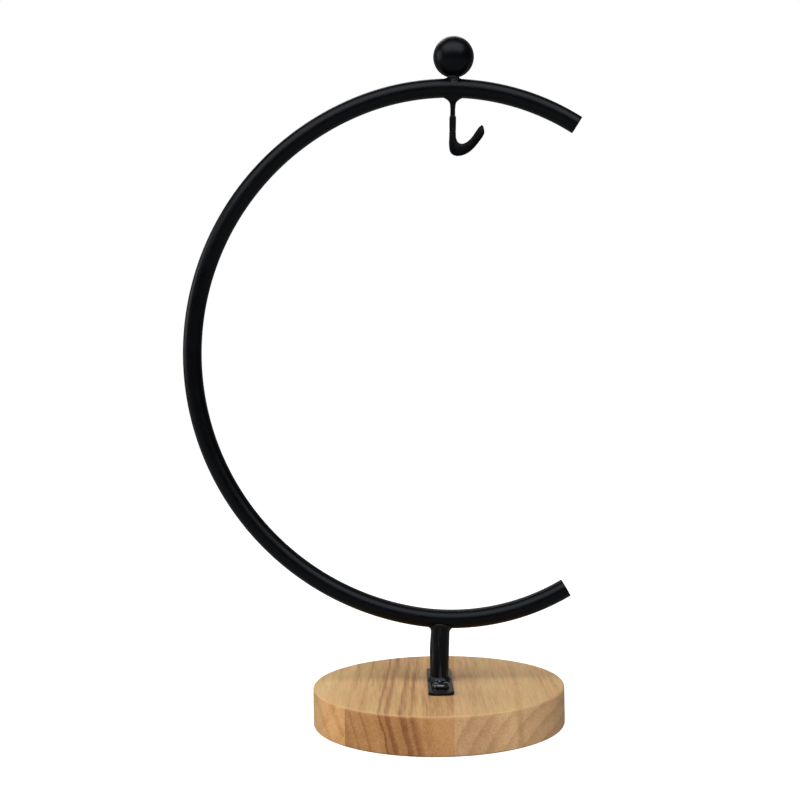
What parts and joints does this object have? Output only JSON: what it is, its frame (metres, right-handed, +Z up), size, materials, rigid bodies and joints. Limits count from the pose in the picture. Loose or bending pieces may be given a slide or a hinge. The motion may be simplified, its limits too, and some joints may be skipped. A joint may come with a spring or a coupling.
{
  "type": "hanging display stand",
  "caption": "Tabletop hanging stand: round wooden base, short post and open C-shaped tube hoop with a ball on top and an open hook under it.",
  "frame": {"origin": "centre of the underside of the round base", "axes": "+Z up through the base, +X towards the open side of the hoop, -Y towards the viewer's front"},
  "size_m": [0.1722, 0.1076, 0.2924],
  "materials": {
    "wood_left": "clear matt lacquer",
    "wood_middle": "clear matt lacquer",
    "wood_right": "clear matt lacquer",
    "black_paint": "satin black paint",
    "black_weld": "satin black paint over a rough weld",
    "black_hook": "satin black paint over forged steel",
    "black_cap": "matt black",
    "black_screw": "black, half gloss"
  },
  "bodies": {
    "root": {"base_stave_left": "wood_left", "base_stave_middle": "wood_middle", "base_stave_right": "wood_right", "mounting_plate": "black_paint", "front_screw": "black_screw", "rear_screw": "black_screw", "post": "black_paint", "post_foot_weld": "black_weld", "post_head_weld": "black_weld", "hoop_tube": "black_paint", "upper_end_cap": "black_cap", "lower_end_cap": "black_cap", "finial_ball": "black_paint", "finial_weld": "black_weld", "hook": "black_hook", "hook_weld": "black_weld"}
  },
  "joints": []
}
